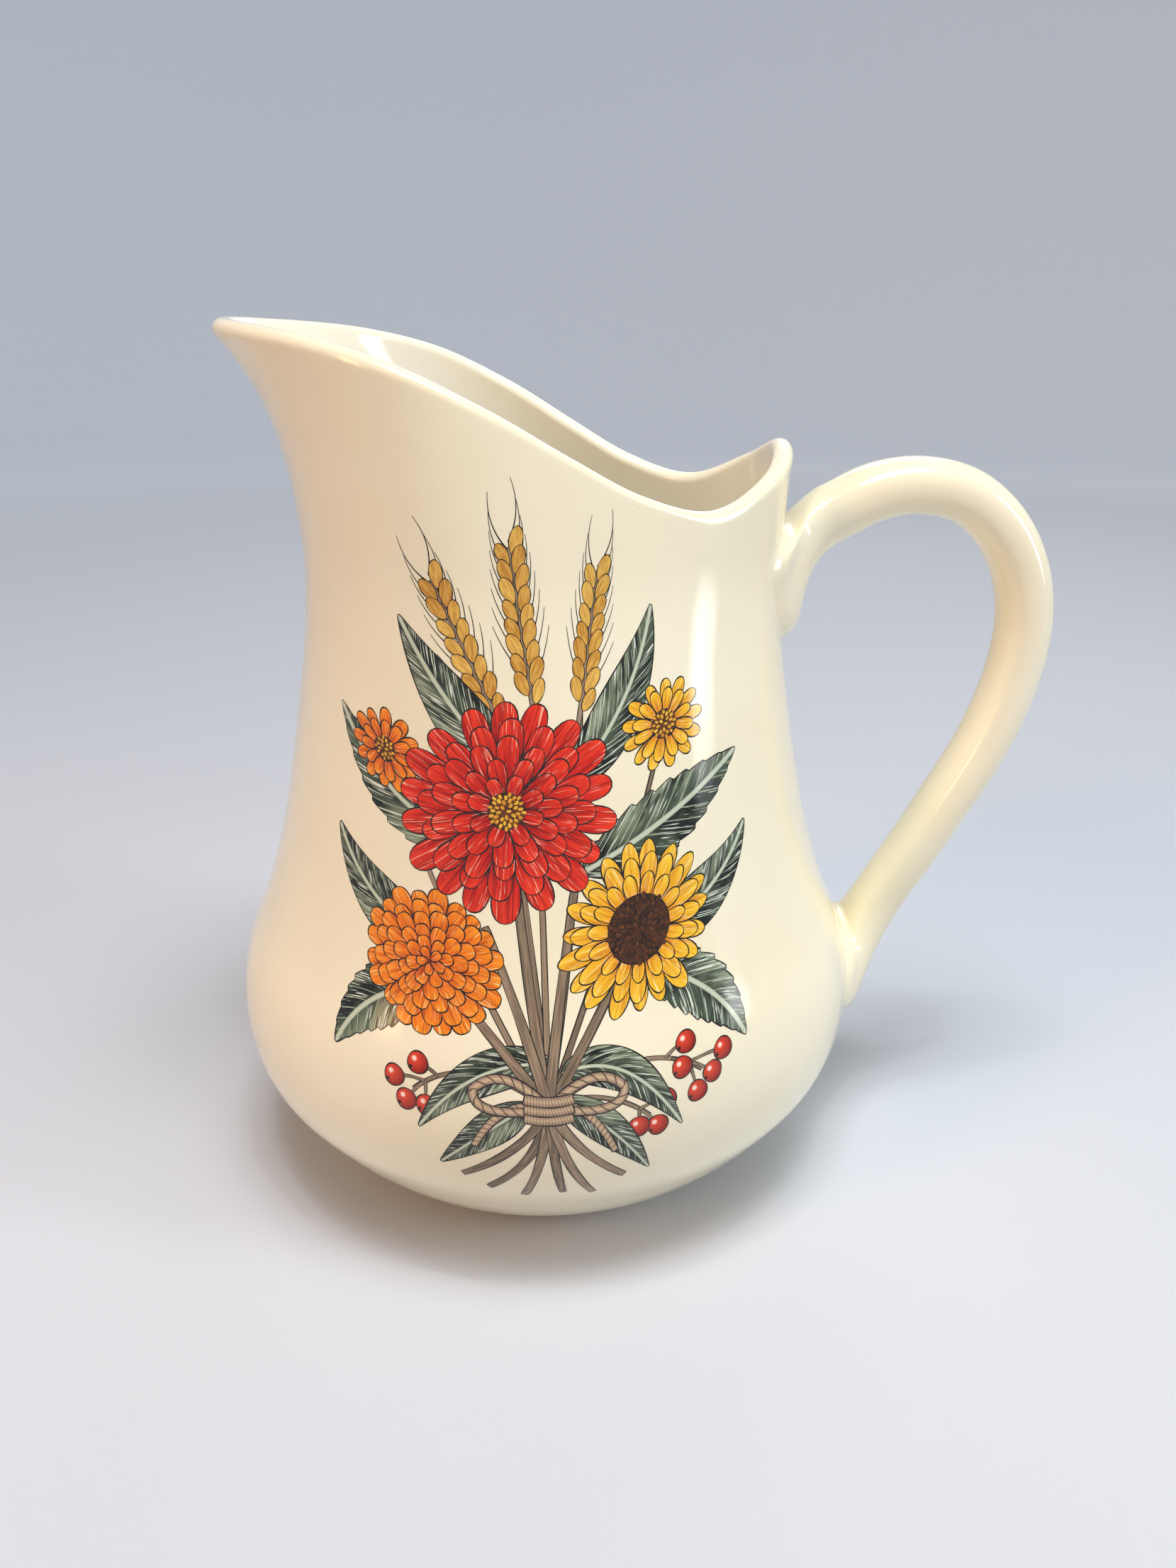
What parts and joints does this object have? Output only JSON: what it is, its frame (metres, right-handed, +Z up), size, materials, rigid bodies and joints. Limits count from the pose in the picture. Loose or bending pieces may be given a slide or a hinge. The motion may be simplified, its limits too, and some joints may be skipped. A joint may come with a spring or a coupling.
{
  "type": "pitcher",
  "caption": "Glazed stoneware pitcher with a full round belly, a pulled spout, a thumb rest behind and a looped strap handle.",
  "frame": {"origin": "centre of the foot ring, on the surface the pitcher stands on", "axes": "+Z up, +X towards the handle, -X towards the spout; the XZ plane is the pitcher's mirror plane and the decorated side faces -Y"},
  "size_m": [0.215, 0.168, 0.2188],
  "materials": {
    "glaze": "glossy warm ivory glaze",
    "bare_clay": "bare fired clay, wiped clean of glaze"
  },
  "bodies": {
    "root": {"body": "glaze", "foot": "bare_clay", "handle": "glaze", "upper_root": "glaze", "lower_root": "glaze"}
  },
  "joints": []
}
